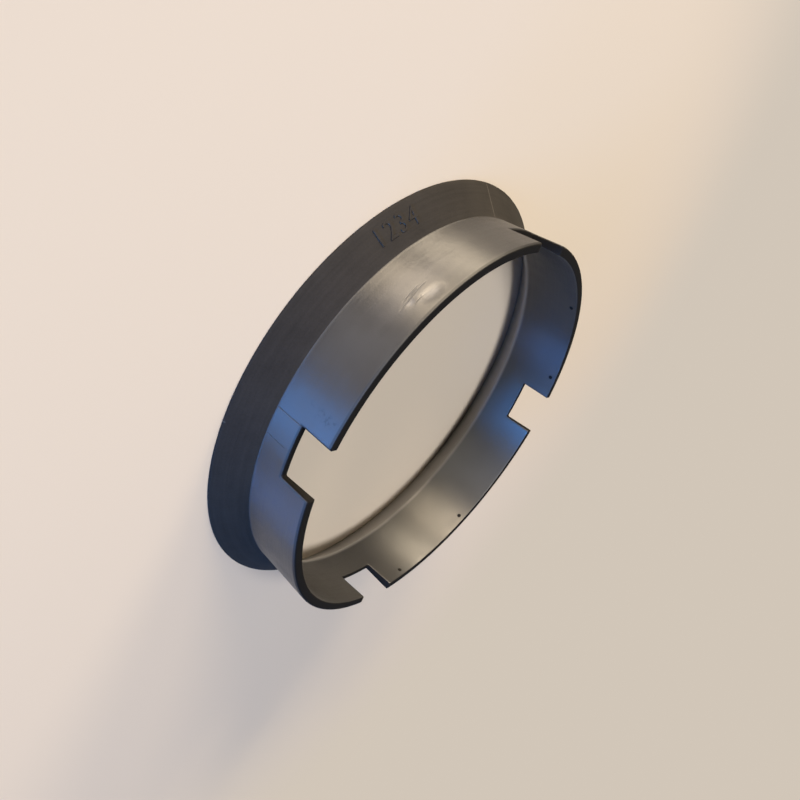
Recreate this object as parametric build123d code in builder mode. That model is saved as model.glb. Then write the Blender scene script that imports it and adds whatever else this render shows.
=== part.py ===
"""Hub centric ring: a thin moulded collar with a flared conical flange and a slotted free end."""

import os
from math import cos, radians, tan

from build123d import *

# Collar: a plain bore for the hub, and a wall that thickens from the flange to the free end
bore_diameter = 71.6
root_wall = 0.75
end_wall = 1.7
ring_height = 16.2

# Flange: a cone of even wall that lies in the chamfer of the wheel's centre bore
flange_reach = 4.25
flange_wall = 1.0
cone_angle = 45.0
rim_land = 0.5

# Folds and edges of the moulded section
root_radius = 0.4
throat_radius = 0.8
rim_edge_break = 0.15
end_edge_radius = 0.4
bore_edge_break = 0.2

# Slots that let the free end spring in
slot_count = 4
slot_width = 8.5
slot_depth = 6.0
slot_floor_radius = 0.35
slot_edge_radius = 0.35

# Worked out from the sizes above, in the section's plane of radius and height
bore_radius = bore_diameter / 2
root_outside = bore_radius + root_wall
end_outside = bore_radius + end_wall
rim_radius = root_outside + flange_reach
cone_slope = tan(radians(cone_angle))
cone_top = rim_land + flange_reach / cone_slope
mouth_radius = rim_radius + rim_land * cone_slope - flange_wall / cos(radians(cone_angle))
throat_height = (mouth_radius - bore_radius) / cone_slope
slot_floor = ring_height - slot_depth

# The section's corners, round from the inner edge of the flange's end face
mouth = (mouth_radius, 0)
rim_foot = (rim_radius, 0)
rim_top = (rim_radius, rim_land)
root = (root_outside, cone_top)
end_outer = (end_outside, ring_height)
end_inner = (bore_radius, ring_height)
throat = (bore_radius, throat_height)

# One plane a slot, facing out from the ring's axis
slot_planes = [Plane(place * Plane.YZ.location) for place in PolarLocations(0, slot_count)]

with BuildPart() as centring_ring:
    # The section, with its folds rounded, turned about the ring's axis
    with BuildSketch(Plane.XZ) as section:
        with BuildLine():
            Polyline(mouth, rim_foot, rim_top, root, end_outer, end_inner, throat, close=True)
        make_face()

        def corner(point):
            return section.vertices().sort_by_distance(point)[0]

        chamfer([corner(mouth), corner(rim_foot), corner(rim_top)], rim_edge_break)
        fillet(corner(root), root_radius)
        fillet(corner(throat), throat_radius)
        fillet(corner(end_outer), end_edge_radius)
        chamfer(corner(end_inner), bore_edge_break)
    revolve(axis=Axis.Z)

    # The slots, with rounded floors, cut out through the wall of the free end
    with BuildSketch(*slot_planes) as slot:
        with Locations((0, slot_floor)):
            Rectangle(slot_width, 2 * slot_depth, align=(Align.CENTER, Align.MIN))
        fillet(slot.vertices().group_by(Axis.Y)[0], slot_floor_radius)
    extrude(amount=rim_radius, mode=Mode.SUBTRACT)

    # The outer edge of each slot is softened, from its floor up both sides to the end face
    collar_side = centring_ring.faces().filter_by(GeomType.CONE).sort_by(SortBy.AREA)[-1]
    slot_floors = collar_side.edges().filter_by(GeomType.CIRCLE).group_by(Axis.Z)[1]
    fillet(slot_floors, slot_edge_radius)

centring_ring.part.label = "centring_ring"

os.makedirs("parts", exist_ok=True)
export_step(centring_ring.part, "parts/centring_ring.step")
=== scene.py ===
import bpy
from math import cos, radians, tau
from mathutils import Matrix, Vector


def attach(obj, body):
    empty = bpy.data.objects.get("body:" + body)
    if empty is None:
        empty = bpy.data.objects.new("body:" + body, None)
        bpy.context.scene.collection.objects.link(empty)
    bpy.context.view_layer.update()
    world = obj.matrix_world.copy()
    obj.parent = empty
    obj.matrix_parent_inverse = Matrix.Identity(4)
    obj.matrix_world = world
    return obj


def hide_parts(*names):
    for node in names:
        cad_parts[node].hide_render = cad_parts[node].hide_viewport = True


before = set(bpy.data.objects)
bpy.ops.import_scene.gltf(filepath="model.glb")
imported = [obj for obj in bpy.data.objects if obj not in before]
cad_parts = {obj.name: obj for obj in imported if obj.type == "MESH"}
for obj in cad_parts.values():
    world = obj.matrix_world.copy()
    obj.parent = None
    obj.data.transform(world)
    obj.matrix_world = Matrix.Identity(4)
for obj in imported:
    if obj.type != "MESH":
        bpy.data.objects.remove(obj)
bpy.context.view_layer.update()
scene = bpy.context.scene
scene.view_settings.view_transform = "Standard"

# The ring is one thin injection moulding in dark grey plastic: a flared flange and a slotted collar.
# Its outside is laid out as a flat sheet of rows and columns with the slots left out, then bent round,
# given a second skin for the bore, and its edges are rounded as the mould rounds them.
ring_sizes = {
    "Bore Diameter": 0.0716,
    "Root Wall": 0.00075,
    "End Wall": 0.0017,
    "Ring Height": 0.0162,
    "Flange Reach": 0.00425,
    "Flange Wall": 0.001,
    "Rim Land": 0.0005,
    "Slot Width": 0.0085,
    "Slot Depth": 0.006,
    "Slot Count": 4,
    "Edge Row": 0.0006,
    "Slot Columns": 14,
    "Finger Columns": 104,
    "Dent Angle": radians(313.4),
    "Dent Height": 0.0139,
    "Dent Half Length": 0.0024,
    "Dent Half Width": 0.0013,
    "Dent Depth": 0.00022,
    "Nick Angle": radians(318.0),
    "Nick Height": 0.0127,
    "Nick Half Length": 0.0009,
    "Nick Half Width": 0.0006,
    "Nick Depth": 0.00008,
}
rim_row, cone_row, floor_row, end_row = 1, 9, 18, 34
cone_angle = radians(45)
millimetre = 0.001
merge_distance = 1e-6


def new_tree(name, sizes):
    tree = bpy.data.node_groups.new(name, "GeometryNodeTree")
    tree.interface.new_socket("Geometry", in_out="OUTPUT", socket_type="NodeSocketGeometry")
    for label, value in sizes.items():
        kind = "NodeSocketInt" if isinstance(value, int) else "NodeSocketFloat"
        tree.interface.new_socket(label, in_out="INPUT", socket_type=kind).default_value = value
    given = tree.nodes.new("NodeGroupInput").outputs
    return tree, given, tree.nodes.new("NodeGroupOutput").inputs[0]


def add(tree, kind, inputs=None, **settings):
    node = tree.nodes.new(kind)
    for key, value in settings.items():
        setattr(node, key, value)
    for key, value in (inputs or {}).items():
        if isinstance(value, bpy.types.NodeSocket):
            tree.links.new(value, node.inputs[key])
        else:
            node.inputs[key].default_value = value
    return node


def maths(tree):
    def work_out(operation, *values):
        return add(tree, "ShaderNodeMath", dict(enumerate(values)), operation=operation).outputs[0]
    return work_out


moulding, size, moulding_out = new_tree("ring_moulding", ring_sizes)
calc = maths(moulding)


def span(value, low, high):
    inputs = {"Value": value, "From Min": low, "From Max": high}
    return add(moulding, "ShaderNodeMapRange", inputs).outputs[0]


def keep(geometry, name, value, data_type="FLOAT", domain="POINT", **only):
    inputs = {"Geometry": geometry, "Name": name, "Value": value, **only}
    node = add(moulding, "GeometryNodeStoreNamedAttribute", inputs, data_type=data_type, domain=domain)
    return node.outputs[0]


def kept(name, data_type="FLOAT"):
    return add(moulding, "GeometryNodeInputNamedAttribute", {"Name": name}, data_type=data_type).outputs[0]


bore = calc("MULTIPLY", size["Bore Diameter"], 0.5)
root_outside = calc("ADD", bore, size["Root Wall"])
end_outside = calc("ADD", bore, size["End Wall"])
rim = calc("ADD", root_outside, size["Flange Reach"])
cone_top = calc("ADD", size["Rim Land"], size["Flange Reach"])
slant_wall = calc("DIVIDE", size["Flange Wall"], cos(cone_angle))
mouth = calc("SUBTRACT", calc("ADD", rim, size["Rim Land"]), slant_wall)
throat = calc("SUBTRACT", mouth, bore)
floor_height = calc("SUBTRACT", size["Ring Height"], size["Slot Depth"])
edge_height = calc("SUBTRACT", size["Ring Height"], size["Edge Row"])


def spot_in(tree):
    position = add(tree, "GeometryNodeInputPosition").outputs[0]
    return add(tree, "ShaderNodeSeparateXYZ", {0: position}).outputs


# The flat sheet, one unit to a row and a column, with its slots left out
pitch = calc("ADD", size["Slot Columns"], size["Finger Columns"])
columns = calc("MULTIPLY", pitch, size["Slot Count"])
sheet = add(moulding, "GeometryNodeMeshGrid", {
    "Size X": columns,
    "Size Y": end_row,
    "Vertices X": calc("ADD", columns, 1),
    "Vertices Y": end_row + 1}).outputs["Mesh"]
spot = spot_in(moulding)
flat = keep(sheet, "column", calc("MULTIPLY_ADD", columns, 0.5, spot["X"]))
flat = keep(flat, "row", calc("ADD", spot["Y"], end_row / 2))
column, row = kept("column"), kept("row")
in_pitch = calc("MODULO", column, pitch)
over_slot = calc("LESS_THAN", in_pitch, size["Slot Columns"])
in_slot = calc("MULTIPLY", over_slot, calc("GREATER_THAN", row, floor_row))
slotted = add(moulding, "GeometryNodeDeleteGeometry", {"Geometry": flat, "Selection": in_slot},
              domain="FACE").outputs[0]


def collar_outside(height):
    up = calc("SUBTRACT", height, cone_top)
    share = calc("DIVIDE", up, calc("SUBTRACT", size["Ring Height"], cone_top))
    return calc("MULTIPLY_ADD", share, calc("SUBTRACT", end_outside, root_outside), root_outside)


def hollow(mark, angle, radius, height):
    across = calc("MULTIPLY", calc("SUBTRACT", angle, size[mark + " Angle"]), radius)
    across = calc("DIVIDE", across, size[mark + " Half Length"])
    off = calc("DIVIDE", calc("SUBTRACT", height, size[mark + " Height"]), size[mark + " Half Width"])
    away = calc("MULTIPLY_ADD", off, off, calc("MULTIPLY", across, across))
    return calc("MULTIPLY", calc("MAXIMUM", calc("SUBTRACT", 1.0, away), 0.0), size[mark + " Depth"])


def turned_to(tree, radius, angle, height):
    sums = maths(tree)
    x = sums("MULTIPLY", radius, sums("COSINE", angle))
    y = sums("MULTIPLY", radius, sums("SINE", angle))
    return add(tree, "ShaderNodeCombineXYZ", {"X": x, "Y": y, "Z": height}).outputs[0]


def wall_place(corners, marks=()):
    radius, height = corners[0][1:]
    for (low, from_radius, from_height), (high, to_radius, to_height) in zip(corners, corners[1:]):
        along = span(row, low, high)
        radius = calc("MULTIPLY_ADD", along, calc("SUBTRACT", to_radius, from_radius), radius)
        height = calc("MULTIPLY_ADD", along, calc("SUBTRACT", to_height, from_height), height)
    half_arc = calc("ARCSINE", calc("DIVIDE", calc("MULTIPLY", size["Slot Width"], 0.5), radius))
    slot_arc = calc("MULTIPLY", half_arc, 2)
    turn = calc("DIVIDE", tau, size["Slot Count"])
    finger_arc = calc("SUBTRACT", turn, slot_arc)
    slots_passed = calc("FLOOR", calc("DIVIDE", column, pitch))
    angle = calc("MULTIPLY_ADD", slots_passed, turn, calc("MULTIPLY", half_arc, -1))
    angle = calc("MULTIPLY_ADD", span(in_pitch, 0, size["Slot Columns"]), slot_arc, angle)
    angle = calc("MULTIPLY_ADD", span(in_pitch, size["Slot Columns"], pitch), finger_arc, angle)
    for mark in marks:
        radius = calc("SUBTRACT", radius, hollow(mark, angle, radius, height))
    return turned_to(moulding, radius, angle, height)


def moved(tree, geometry, position, **only):
    inputs = {"Geometry": geometry, "Position": position, **only}
    return add(tree, "GeometryNodeSetPosition", inputs).outputs[0]


def flipped(tree, geometry):
    return add(tree, "GeometryNodeFlipFaces", {"Mesh": geometry}).outputs[0]


def together(tree, *parts):
    node = add(tree, "GeometryNodeJoinGeometry")
    for part in parts:
        tree.links.new(part, node.inputs[0])
    return node.outputs[0]


def merged(tree, geometry, distance):
    return add(tree, "GeometryNodeMergeByDistance", {"Geometry": geometry, "Distance": distance}).outputs[0]


# The sheet bent round, with the corners of its section as row, radius and height, and its second skin
outside = wall_place([
    (0, rim, 0.0),
    (rim_row, rim, size["Rim Land"]),
    (cone_row, root_outside, cone_top),
    (floor_row, collar_outside(floor_height), floor_height),
    (end_row - 1, collar_outside(edge_height), edge_height),
    (end_row, end_outside, size["Ring Height"])], ("Dent", "Nick"))
inside = wall_place([
    (0, mouth, 0.0),
    (rim_row, calc("SUBTRACT", mouth, size["Rim Land"]), size["Rim Land"]),
    (cone_row, bore, throat),
    (floor_row, bore, floor_height),
    (end_row - 1, bore, edge_height),
    (end_row, bore, size["Ring Height"])])
slotted = keep(slotted, "bored_place", inside, "FLOAT_VECTOR")
skin = merged(moulding, moved(moulding, slotted, outside), merge_distance)
thick = add(moulding, "GeometryNodeExtrudeMesh", {"Mesh": skin, "Offset Scale": 0.0, "Individual": False})
second = thick.outputs["Top"]
bored_place = kept("bored_place", "FLOAT_VECTOR")
bored = moved(moulding, thick.outputs["Mesh"], bored_place, Selection=second)
bored = keep(bored, "bore_side", 1.0, Selection=second)
skins = together(moulding, flipped(moulding, bored), skin)
closed = merged(moulding, skins, merge_distance)

# How far each edge is rounded, in millimetres: outside, in the bore, and at the corners of a slot's floor
end_edge, slot_edge, root_fold, rim_edge = 0.4, 0.35, 0.166, 0.15
bore_end_edge, bore_slot_edge, throat_fold = 0.2, 0.1, 0.33
floor_corner = 0.35
least_bend, crisp_bend = radians(15), radians(40)
part_row = 0.3


def choose(question, no, yes):
    inputs = {"Switch": question, "False": no, "True": yes}
    return add(moulding, "GeometryNodeSwitch", inputs, input_type="FLOAT").outputs[0]


def by_row(end, slot, fold, foot):
    depth = choose(calc("LESS_THAN", row, end_row - part_row), end / end_edge, slot / end_edge)
    depth = choose(calc("LESS_THAN", row, cone_row + part_row), depth, fold / end_edge)
    return choose(calc("LESS_THAN", row, rim_row + part_row), depth, foot / end_edge)


# Points are 0 outside and 1 in the bore, so an edge through the wall is a half
on_bore = kept("bore_side")
on_inside = calc("GREATER_THAN", on_bore, 0.75)
on_outside = calc("LESS_THAN", on_bore, 0.25)
through = calc("COMPARE", on_bore, 0.5, 0.2)
rounding = choose(on_inside, 0.0, by_row(bore_end_edge, bore_slot_edge, throat_fold, rim_edge))
rounding = choose(on_outside, rounding, by_row(end_edge, slot_edge, root_fold, rim_edge))
at_corner = calc("MULTIPLY", through, calc("COMPARE", row, floor_row, part_row))
rounding = choose(at_corner, rounding, floor_corner / end_edge)
bend = add(moulding, "GeometryNodeInputMeshEdgeAngle").outputs["Unsigned Angle"]
rounding = calc("MULTIPLY", rounding, calc("GREATER_THAN", bend, least_bend))
crisp = calc("MULTIPLY", calc("GREATER_THAN", bend, crisp_bend), through)
edged = keep(closed, "bevel_weight_edge", rounding, domain="EDGE")
edged = keep(edged, "sharp_edge", crisp, "BOOLEAN", "EDGE")
smooth = add(moulding, "GeometryNodeSetShadeSmooth", {"Geometry": edged}).outputs[0]

# The ring's finish is the plastic as it left the mould: a satin collar with fine turned streaks, and a
# flange that is darker and more matt, with a warmer tone that is painted warm light. The cut faces are more
# matt and painted darker as shade, and the rounded end and slot edges carry painted shade. Knit lines,
# stains round the ejector pins, scratches and a dented spot are where they are on the real one; the dented
# spot is painted paler, partly as whitened plastic and partly as a painted highlight, a wide patch round it
# carries a painted sheen, and the flare inside the flange is painted lighter, as painted light where it sits
# in shade.
# Places on it are in millimetres and degrees.
# The cut faces' grey is painted shade: it makes the end face, the slot faces and the sides of the figures
# far darker than the rest.
collar_grey, flange_grey, cut_face_shade_grey = 0.018, 0.017, 0.007
# The flange's warmer tone is painted warm light, set against the blue of the cool lamps on it.
collar_tone, flange_warm_light_tone = (1.0, 0.972, 0.955), (1.0, 0.9, 0.8)
collar_rough, flange_rough, cut_rough = 0.41, 0.8, 0.85
end_level = ring_sizes["Ring Height"] / millimetre
floor_level = end_level - ring_sizes["Slot Depth"] / millimetre
root_level = (ring_sizes["Rim Land"] + ring_sizes["Flange Reach"]) / millimetre
flare_low, flare_high = 4.2, 5.0
half_slot = ring_sizes["Slot Width"] / 2 / millimetre
slot_turn = tau / ring_sizes["Slot Count"]
pip_places, pip_height = (14.2, 44.8), 15.0
stain_inside, stain_outside = 0.36, 0.52
scratch_middle, scratch_slope, scratch_half_width = -44, -0.1, 0.1
scratch_spans = ((11.97, -2.6, 2.9), (11.45, -1.5, 1.5), (11.7, -1.0, 0.6), (13.15, -0.4, 1.1))

plastic = bpy.data.materials.new("ring_satin")
plastic.use_nodes = True
skin_tree = plastic.node_tree
reckon = maths(skin_tree)


def times(first, *others):
    for other in others:
        first = reckon("MULTIPLY", first, other)
    return first


def total(first, *others):
    for other in others:
        first = reckon("ADD", first, other)
    return first


def weighted(*shares):
    return total(*[times(mark, share) for mark, share in shares])


def length(first, second):
    return reckon("SQRT", reckon("MULTIPLY_ADD", first, first, times(second, second)))


coords = add(skin_tree, "ShaderNodeTexCoord").outputs
in_mm = add(skin_tree, "ShaderNodeVectorMath", {0: coords["Object"], "Scale": 1 / millimetre},
            operation="SCALE").outputs[0]
place = add(skin_tree, "ShaderNodeSeparateXYZ", {0: in_mm}).outputs
facing = add(skin_tree, "ShaderNodeSeparateXYZ", {0: coords["Normal"]}).outputs
radius = length(place["X"], place["Y"])
angle = reckon("ARCTAN2", place["Y"], place["X"])
height = place["Z"]


def ramp_up(value, low, high, start=0.0, stop=1.0):
    inputs = {"Value": value, "From Min": low, "From Max": high, "To Min": start, "To Max": stop}
    return add(skin_tree, "ShaderNodeMapRange", inputs, interpolation_type="SMOOTHSTEP").outputs[0]


def ramp_down(value, low, high):
    return ramp_up(value, low, high, 1.0, 0.0)


def band(value, low, high, soft):
    return times(ramp_up(value, low - soft, low + soft), ramp_down(value, high - soft, high + soft))


def arc(degrees):
    return times(reckon("SUBTRACT", angle, radians(degrees)), radius)


def upright_line(degrees, half_width, soft, low, high, soft_end):
    return times(band(arc(degrees), -half_width, half_width, soft), band(height, low, high, soft_end))


def noise(scale, detail, stretch=(1, 1, 1), roughness=0.5):
    spread = add(skin_tree, "ShaderNodeVectorMath", {0: in_mm, 1: stretch}, operation="MULTIPLY").outputs[0]
    inputs = {"Vector": spread, "Scale": scale, "Detail": detail, "Roughness": roughness}
    return reckon("SUBTRACT", add(skin_tree, "ShaderNodeTexNoise", inputs).outputs[0], 0.5)


# Which side of the ring a spot is on, from the way it faces and from its height
outward = total(times(facing["X"], reckon("DIVIDE", place["X"], radius)),
                times(facing["Y"], reckon("DIVIDE", place["Y"], radius)))
wall = ramp_up(reckon("ABSOLUTE", outward), 0.35, 0.6)
inner = ramp_down(outward, -0.2, 0.2)
outer = reckon("SUBTRACT", 1.0, inner)
collar = reckon("MAXIMUM", ramp_up(height, root_level - 0.15, root_level + 0.15), inner)
collar_wall = times(collar, wall)
flare = times(inner, ramp_down(height, flare_low, flare_high))
off_slot = reckon("MINIMUM", reckon("ABSOLUTE", place["X"]), reckon("ABSOLUTE", place["Y"]))
beside_slot = ramp_down(off_slot, half_slot + 0.2, half_slot + 0.5)
slot_side = times(beside_slot, ramp_up(height, floor_level - 0.55, floor_level - 0.25))
end_side = ramp_up(height, end_level - 0.6, end_level - 0.35)
# The rounded end and slot edges outside are darkened below as painted shade, and are also made rougher.
edge_shade_and_roughness = times(reckon("MAXIMUM", end_side, slot_side), outer)
root_fold_side = times(ramp_down(height, root_level + 0.1, root_level + 0.35), outer)

# The surface's own unevenness, coarse to fine
mottle = noise(0.09, 3)
smudge = noise(0.35, 4, (1, 1, 0.5))
streak = noise(1.0, 4, (0.06, 0.06, 2.6), 0.65)
grain = noise(3.6, 3, roughness=0.65)
scuff = ramp_up(noise(1.0, 3, (0.5, 0.5, 3.2), 0.7), 0.17, 0.3)

# Marks of the mould
pip_angle = reckon("WRAP", angle, slot_turn, 0.0)
off_pip = reckon("SUBTRACT", height, pip_height)
pins = 0.0
for degrees in pip_places:
    across = times(reckon("SUBTRACT", pip_angle, radians(degrees)), radius)
    pins = total(ramp_down(length(across, off_pip), stain_inside, stain_outside), pins)
pins = times(pins, inner)
knit = upright_line(0.2, 0.05, 0.04, 5.0, 8.9, 0.5)
corner_line = upright_line(-6.62, 0.05, 0.04, 4.9, floor_level, 0.2)
lines = times(total(knit, corner_line), outer)
weld = upright_line(-90, 0.09, 0.07, 0.5, 4.7, 0.2)
flash = upright_line(1.0, 0.12, 0.06, -1.0, 0.6, 0.1)
weld = times(total(weld, flash), outer)

# Marks of use, with each scratch as its height, start and stop
tilted = reckon("MULTIPLY_ADD", arc(scratch_middle), scratch_slope, height)
ragged = reckon("MULTIPLY_ADD", noise(2.2, 3), 0.12, tilted)
scratches = 0.0
for level, start, stop in scratch_spans:
    line = band(reckon("SUBTRACT", ragged, level), -scratch_half_width, scratch_half_width, 0.06)
    scratches = reckon("MULTIPLY_ADD", line, band(arc(scratch_middle), start, stop, 0.7), scratches)
scratches = times(scratches, outer)


def patch(degrees, level, half_arc, half_height, rough_edge):
    off = reckon("DIVIDE", reckon("SUBTRACT", height, level), half_height)
    across = reckon("DIVIDE", arc(degrees), half_arc)
    away = reckon("MULTIPLY_ADD", noise(1.1, 4), rough_edge, length(off, across))
    return times(ramp_down(away, 0.15, 1.0), outer)


# The dented spot is painted paler, partly as whitened plastic and partly as a painted highlight.
dent_whitening_and_highlight = total(patch(-42.0, 12.7, 0.9, 0.6, 1.2), patch(-46.6, 13.7, 2.3, 1.1, 1.2))
# This wide patch round the dented spot is a painted sheen: it makes the collar lighter there.
painted_sheen_patch = patch(-46.0, 11.0, 9.0, 5.0, 0.5)
scraped = times(patch(-11.6, 12.6, 1.3, 4.2, 1.2), ramp_up(noise(1.5, 3), -0.04, 0.1))

# Colour: the cut faces take a darker grey as painted shade, marks and painted shade on the rounded edges
# take a share of it away, and the paler dented spot with its painted highlight, a painted sheen patch,
# painted light on the flare inside the flange and the weld line add to it
shade = reckon("MULTIPLY_ADD", collar, collar_grey - flange_grey, flange_grey)
shade = reckon("MULTIPLY_ADD", wall, reckon("SUBTRACT", shade, cut_face_shade_grey), cut_face_shade_grey)
varied = weighted((mottle, 0.45), (streak, 0.6), (grain, 0.5), (smudge, 0.35))
shade = reckon("MULTIPLY_ADD", shade, varied, shade)
for mark, share in ((lines, 0.75), (pins, 0.8), (scratches, 0.45), (edge_shade_and_roughness, 0.5)):
    shade = times(shade, reckon("MULTIPLY_ADD", mark, -share, 1.0))
for mark, extra in ((dent_whitening_and_highlight, 0.035), (painted_sheen_patch, 0.02), (flare, 0.12), (weld, 0.03)):
    shade = reckon("MULTIPLY_ADD", mark, extra, shade)
tone = add(skin_tree, "ShaderNodeVectorMath", {0: collar_tone, "Scale": shade}, operation="SCALE")

# Roughness and relief, with the marks faint on the flare inside the flange
even = reckon("MULTIPLY_ADD", flare, -0.9, 1.0)
rough = reckon("MULTIPLY_ADD", wall, flange_rough - cut_rough, cut_rough)
rough = reckon("MULTIPLY_ADD", collar_wall, collar_rough - flange_rough, rough)
rough = reckon("MULTIPLY_ADD", flare, -0.1, rough)
folded = reckon("MAXIMUM", edge_shade_and_roughness, root_fold_side)
worn = weighted(
    (smudge, 0.2), (streak, 0.2), (grain, 0.24), (scuff, 0.14), (scratches, 0.4), (pins, 0.4),
    (lines, 0.3), (folded, 0.34), (scraped, 0.3), (inner, 0.07))
rough = reckon("MULTIPLY_ADD", worn, even, rough)
relief = weighted(
    (streak, 0.012), (grain, 0.012), (mottle, 0.05), (lines, -0.05), (scratches, -0.05), (weld, 0.04))
bump = add(skin_tree, "ShaderNodeBump", {"Height": times(relief, even), "Distance": millimetre})

shader = skin_tree.nodes["Principled BSDF"]
shader.inputs["IOR"].default_value = 1.55
shader.inputs["Specular IOR Level"].default_value = 0.9
shader.inputs["Anisotropic"].default_value = 0.92
shader.inputs["Anisotropic Rotation"].default_value = 0.25
for socket, name in ((tone.outputs[0], "Base Color"), (rough, "Roughness"), (bump.outputs[0], "Normal")):
    skin_tree.links.new(socket, shader.inputs[name])

matt = plastic.copy()
matt.name = "ring_matt"
matt_shader = matt.node_tree.nodes["Principled BSDF"]
matt_shader.inputs["Anisotropic"].default_value = 0.0
matt_shader.inputs["Specular IOR Level"].default_value = 0.12
matt.node_tree.nodes[tone.name].inputs[0].default_value = flange_warm_light_tone


def real(tree, geometry):
    return add(tree, "GeometryNodeRealizeInstances", {0: geometry}).outputs[0]


def coloured(tree, geometry, material, **only):
    inputs = {"Geometry": geometry, "Material": material, **only}
    return add(tree, "GeometryNodeSetMaterial", inputs).outputs[0]


def new_piece(name, tree):
    piece = bpy.data.objects.new(name, bpy.data.meshes.new(name))
    scene.collection.objects.link(piece)
    piece.modifiers.new(name, "NODES").node_group = tree
    return piece


def make_plain(piece):
    finished = piece.evaluated_get(bpy.context.evaluated_depsgraph_get())
    shape = bpy.data.meshes.new_from_object(finished)
    piece.modifiers.clear()
    piece.data = shape


outer_collar = calc("MULTIPLY", on_outside, calc("GREATER_THAN", row, cone_row))
satin_side = calc("MAXIMUM", on_inside, outer_collar)
painted = coloured(moulding, real(moulding, smooth), matt)
painted = coloured(moulding, painted, plastic, Selection=satin_side)
moulding.links.new(painted, moulding_out)

ring = new_piece("ring", moulding)
soften = ring.modifiers.new("soften", "BEVEL")
soften.limit_method = "WEIGHT"
soften.width = end_edge * millimetre
soften.segments = 4
soften.use_clamp_overlap = False
ring.modifiers.new("shading", "WEIGHTED_NORMAL").keep_sharp = True
make_plain(ring)
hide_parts("centring_ring")
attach(ring, "root")

# Pips on the bore wall are the marks of the pins that push the moulding out of its mould, two to each
# finger. They are small flat discs of the same plastic, a hair proud of the wall and left rough.
pip_sizes = {
    "Finger Count": ring_sizes["Slot Count"],
    "Wall Radius": ring_sizes["Bore Diameter"] / 2,
    "Height": pip_height * millimetre,
    "Pip Radius": 0.0004,
    "Draft": 0.00008,
    "Proud": 0.00006,
    "Sunk": 0.00006,
}
pip_sides = 32
pips, pip_size, pips_out = new_tree("ejector_pips", pip_sizes)
pip_sum = maths(pips)
disc = add(pips, "GeometryNodeMeshCone", {
    "Vertices": pip_sides,
    "Radius Top": pip_sum("SUBTRACT", pip_size["Pip Radius"], pip_size["Draft"]),
    "Radius Bottom": pip_size["Pip Radius"],
    "Depth": pip_sum("ADD", pip_size["Proud"], pip_size["Sunk"])}).outputs["Mesh"]
finger_turn = pip_sum("DIVIDE", tau, pip_size["Finger Count"])
pip_reach = pip_sum("ADD", pip_size["Wall Radius"], pip_size["Sunk"])
pip_rounds = []
for degrees in pip_places:
    finger = add(pips, "GeometryNodeInputIndex").outputs[0]
    turn = pip_sum("MULTIPLY_ADD", finger, finger_turn, radians(degrees))
    stand = turned_to(pips, pip_reach, turn, pip_size["Height"])
    stands = add(pips, "GeometryNodePoints", {
        "Count": pip_size["Finger Count"], "Position": stand}).outputs[0]
    inward = turned_to(pips, -1.0, turn, 0.0)
    facing_in = add(pips, "FunctionNodeAlignRotationToVector", {"Vector": inward}, axis="Z").outputs[0]
    placed = add(pips, "GeometryNodeInstanceOnPoints", {
        "Points": stands, "Instance": disc, "Rotation": facing_in}).outputs[0]
    pip_rounds.append(placed)
every_pip = real(pips, together(pips, *pip_rounds))
pips.links.new(coloured(pips, every_pip, matt), pips_out)

pip_piece = new_piece("ejector_pips", pips)
make_plain(pip_piece)
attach(pip_piece, "root")

# The raised number on the flange is plain mould lettering, cut into the mould and so proud of the cone.
# Its figures are of the same plastic and follow the cone, with their tops towards the rim.
figure_sizes = {
    "Figure Height": 0.0041,
    "Proud": 0.00016,
    "Mid Radius": 0.03895,
    "Mid Height": 0.00235,
    "Middle Angle": radians(-54.6),
    "Sunk": 0.00012,
}
figure_spacing, figure_step, figure_merge = 1.15, 0.00012, 1e-7
figures, figure_size, figures_out = new_tree("raised_figures", figure_sizes)
count = maths(figures)
letters = add(figures, "GeometryNodeStringToCurves", {
    "String": "1234", "Size": figure_size["Figure Height"], "Character Spacing": figure_spacing},
    align_x="CENTER", align_y="MIDDLE").outputs[0]
strokes = add(figures, "GeometryNodeResampleCurve", {"Curve": real(figures, letters), "Length": figure_step},
              mode="LENGTH").outputs[0]
faces = add(figures, "GeometryNodeFillCurve", {"Curve": strokes}, mode="TRIANGLES").outputs[0]
raised = add(figures, "GeometryNodeExtrudeMesh", {
    "Mesh": faces,
    "Offset Scale": count("ADD", figure_size["Proud"], figure_size["Sunk"]),
    "Individual": False}).outputs["Mesh"]
solid = merged(figures, together(figures, raised, flipped(figures, faces)), figure_merge)

# The flat figures laid on the cone
flat_spot = spot_in(figures)
slant = cos(cone_angle)
proud = count("SUBTRACT", flat_spot["Z"], figure_size["Sunk"])
outwards = count("MULTIPLY", count("ADD", flat_spot["Y"], proud), slant)
upwards = count("MULTIPLY", count("SUBTRACT", proud, flat_spot["Y"]), slant)
sideways = count("DIVIDE", flat_spot["X"], figure_size["Mid Radius"])
on_cone = turned_to(figures, count("ADD", figure_size["Mid Radius"], outwards),
                    count("SUBTRACT", figure_size["Middle Angle"], sideways),
                    count("ADD", figure_size["Mid Height"], upwards))
laid = real(figures, moved(figures, solid, on_cone))
figures.links.new(coloured(figures, laid, matt), figures_out)

number = new_piece("raised_number", figures)
ease = number.modifiers.new("ease", "BEVEL")
ease.angle_limit = radians(50)
ease.width = 0.05 * millimetre
ease.segments = 2
make_plain(number)
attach(number, "root")

# The stage is one pale, warm sheet of paper that runs out into a backdrop of the same colour.
# Near the ring it takes light and shadow, and further out it fades into the backdrop.
backdrop_colour = (0.64, 0.565, 0.48, 1)
floor_radius, fade_start, fade_end = 6, 0.075, 0.19


def sight_lines(tree):
    ray = add(tree, "ShaderNodeLightPath").outputs
    mirrored = maths(tree)("MAXIMUM", ray["Is Glossy Ray"], ray["Is Transmission Ray"])
    return ray["Is Camera Ray"], mirrored


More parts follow.
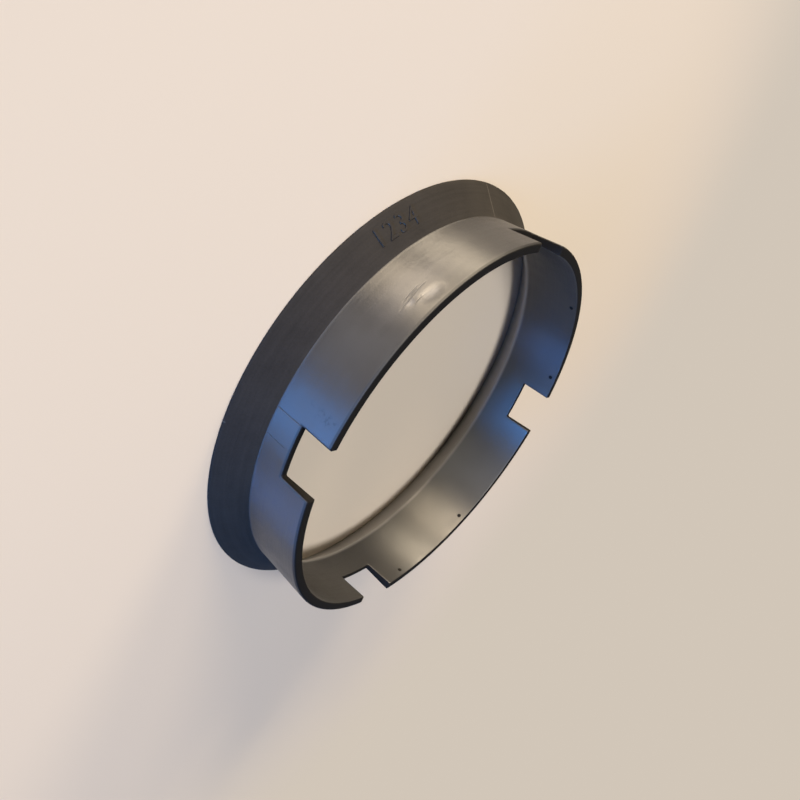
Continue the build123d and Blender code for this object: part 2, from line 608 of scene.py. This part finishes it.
bpy.ops.mesh.primitive_circle_add(vertices=128, radius=floor_radius, fill_type="NGON")
floor = bpy.context.object
floor.name = "floor"
paper = bpy.data.materials.new("floor_paper")
paper.use_nodes = True
paper_tree = paper.node_tree
paper_sum = maths(paper_tree)
lit = paper_tree.nodes["Principled BSDF"]
lit.inputs["Roughness"].default_value = 1.0
lit.inputs["Specular IOR Level"].default_value = 0.0
lit.inputs["Base Color"].default_value = backdrop_colour
far = add(paper_tree, "ShaderNodeEmission", {"Color": backdrop_colour, "Strength": 1.0})
paper_spot = add(paper_tree, "ShaderNodeTexCoord").outputs["Object"]
from_ring = add(paper_tree, "ShaderNodeVectorMath", {0: paper_spot}, operation="LENGTH").outputs["Value"]
fade = add(paper_tree, "ShaderNodeMapRange", {
    "Value": from_ring, "From Min": fade_start, "From Max": fade_end},
    interpolation_type="SMOOTHERSTEP").outputs[0]
seen = paper_sum("MAXIMUM", *sight_lines(paper_tree))
faded = add(paper_tree, "ShaderNodeMixShader", {
    0: paper_sum("MULTIPLY", fade, seen), 1: lit.outputs[0], 2: far.outputs[0]}).outputs[0]
paper_tree.links.new(faded, paper_tree.nodes["Material Output"].inputs["Surface"])
floor.data.materials.append(paper)

# The light is soft: a pale room, warm softboxes low at one side, cool ones low at the other and a soft
# one above. The room shows the backdrop's colour to the camera, and to reflections up to its top edge.
backdrop_low, backdrop_top = 0.12, 0.3
lamp_distance = 1.2
room = bpy.data.worlds.new("room")
scene.world = room
room.use_nodes = True
room_tree = room.node_tree
room_sum = maths(room_tree)
ambient = room_tree.nodes["Background"]
ambient.inputs["Color"].default_value = (0.95, 0.93, 0.9, 1)
ambient.inputs["Strength"].default_value = 0.16
behind = add(room_tree, "ShaderNodeBackground", {"Color": backdrop_colour, "Strength": 1.0})
way = add(room_tree, "ShaderNodeTexCoord").outputs["Generated"]
backdrop = add(room_tree, "ShaderNodeMapRange", {
    "Value": add(room_tree, "ShaderNodeSeparateXYZ", {0: way}).outputs["Z"],
    "From Min": backdrop_low, "From Max": backdrop_top, "To Min": 1.0, "To Max": 0.0}).outputs[0]
room_seen, room_mirrored = sight_lines(room_tree)
room_seen = room_sum("MAXIMUM", room_seen, room_sum("MULTIPLY", room_mirrored, backdrop))
sky = add(room_tree, "ShaderNodeMixShader", {0: room_seen, 1: ambient.outputs[0], 2: behind.outputs[0]})
room_tree.links.new(sky.outputs[0], room_tree.nodes["World Output"].inputs["Surface"])


def toward(heading, rise):
    return Matrix.Rotation(radians(heading), 3, "Z") @ Matrix.Rotation(radians(-rise), 3, "Y")


def softbox(name, heading, rise, width_and_height, power, colour):
    lamp = bpy.data.lights.new(name, "AREA")
    lamp.shape = "ELLIPSE"
    lamp.size, lamp.size_y = width_and_height
    lamp.energy = power
    lamp.color = colour
    box = bpy.data.objects.new(name, lamp)
    aim = toward(heading, rise) @ Vector((1, 0, 0))
    box.location = aim * lamp_distance
    box.rotation_euler = aim.to_track_quat("Z", "Y").to_euler()
    box.visible_camera = False
    scene.collection.objects.link(box)


softbox("warm_near", -70.5, 7.5, (0.52, 0.3), 23.5, (1.0, 0.81, 0.57))
softbox("warm_far", -98, 7.5, (0.38, 0.3), 20.0, (1.0, 0.83, 0.6))
softbox("cool_near", 12, 6, (0.85, 0.24), 25.0, (0.06, 0.34, 1.0))
softbox("cool_far", 56, 7, (0.6, 0.28), 7.0, (0.07, 0.3, 1.0))
softbox("above", -40, 64, (0.6, 0.6), 11.0, (1.0, 0.97, 0.93))

# The camera is at the photo's viewing angle: above the free end, and rolled so that the ring's axis
# points down to the right. Its heading, rise and roll are in degrees.
camera_heading, camera_rise, camera_roll = -24.168, 25.37, 126.032
camera_distance = 0.14
aim_point = Vector((0.000635, -0.000082, 0.00346))
lens = bpy.data.cameras.new("camera")
lens.sensor_width = 36
lens.lens = 34.52
lens.clip_start = 0.005
camera = bpy.data.objects.new("camera", lens)
upright = Matrix(((0, 0, 1), (1, 0, 0), (0, 1, 0)))
level_axes = toward(camera_heading, camera_rise) @ upright
axes = level_axes @ Matrix.Rotation(radians(camera_roll), 3, "Z")
stand_point = aim_point + axes.col[2] * camera_distance
camera.matrix_world = Matrix.Translation(stand_point) @ axes.to_4x4()
scene.collection.objects.link(camera)
scene.camera = camera
